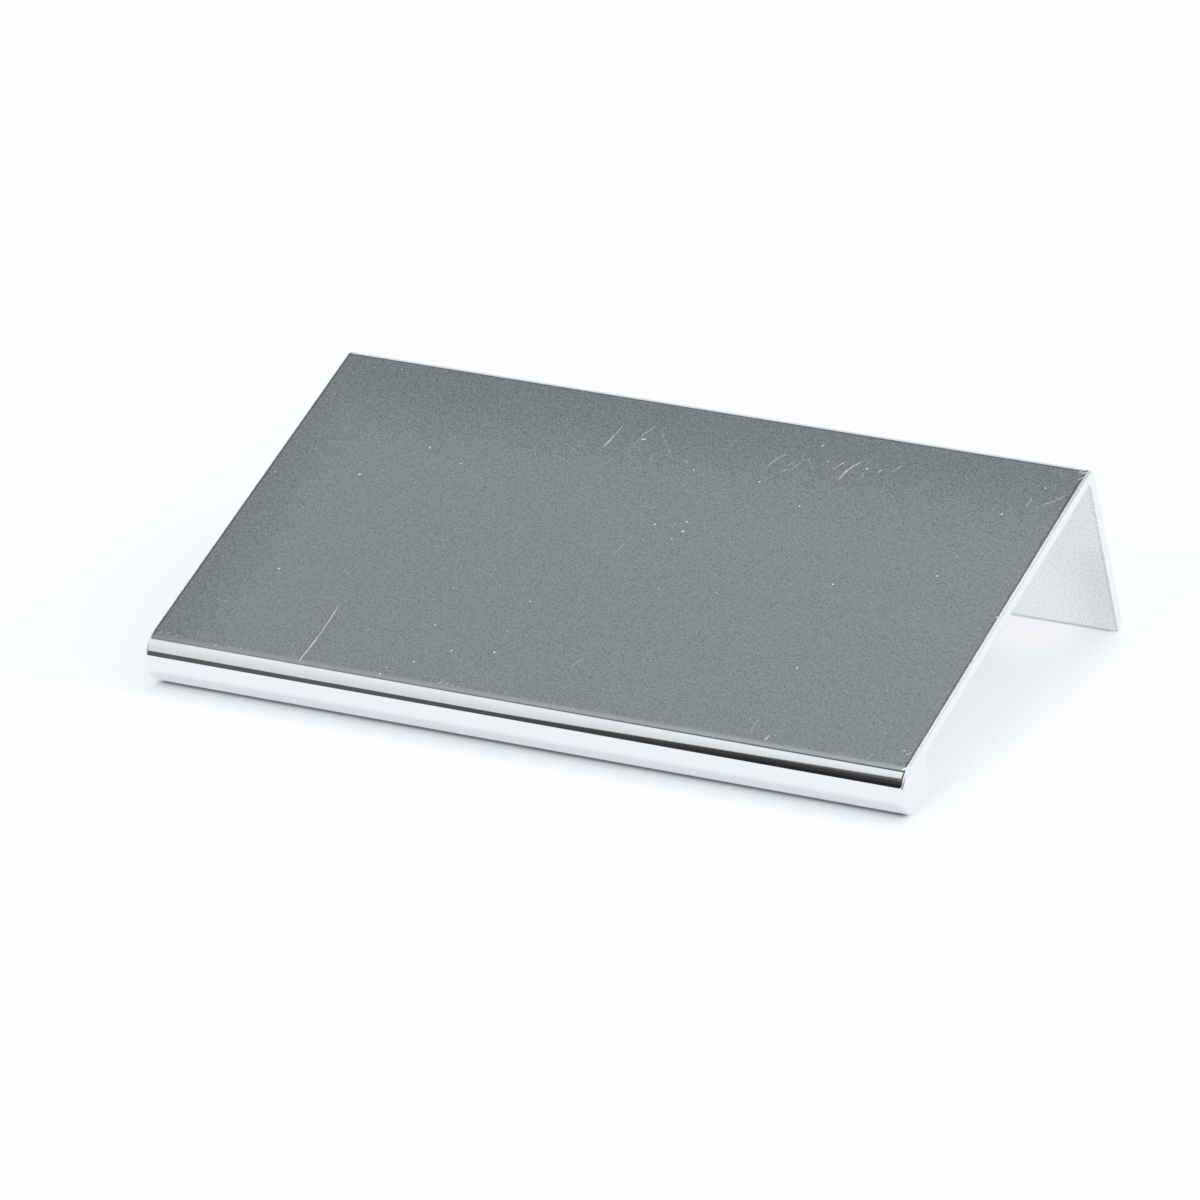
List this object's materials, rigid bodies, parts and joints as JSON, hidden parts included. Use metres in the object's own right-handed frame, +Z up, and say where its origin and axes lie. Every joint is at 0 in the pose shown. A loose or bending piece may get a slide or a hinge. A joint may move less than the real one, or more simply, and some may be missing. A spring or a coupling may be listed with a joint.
{
  "type": "cabinet edge pull",
  "caption": "Edge pull for a drawer or cabinet door: flat polished plate, round bead along the front edge and a countersunk screw flange turned down at the back.",
  "frame": {"origin": "midway between the two screw holes, on the flange face that meets the drawer front", "axes": "+X along the pull, -Y forward from the flange face to the bead, +Z up out of the plate's top face, as it is fixed to a drawer front"},
  "size_m": [0.08, 0.046, 0.02],
  "materials": {
    "polished_metal": "mirror polish on the outside, satin on the inside of the flange, with fine scratches"
  },
  "bodies": {
    "root": {"edge_pull": "polished_metal"}
  },
  "joints": []
}
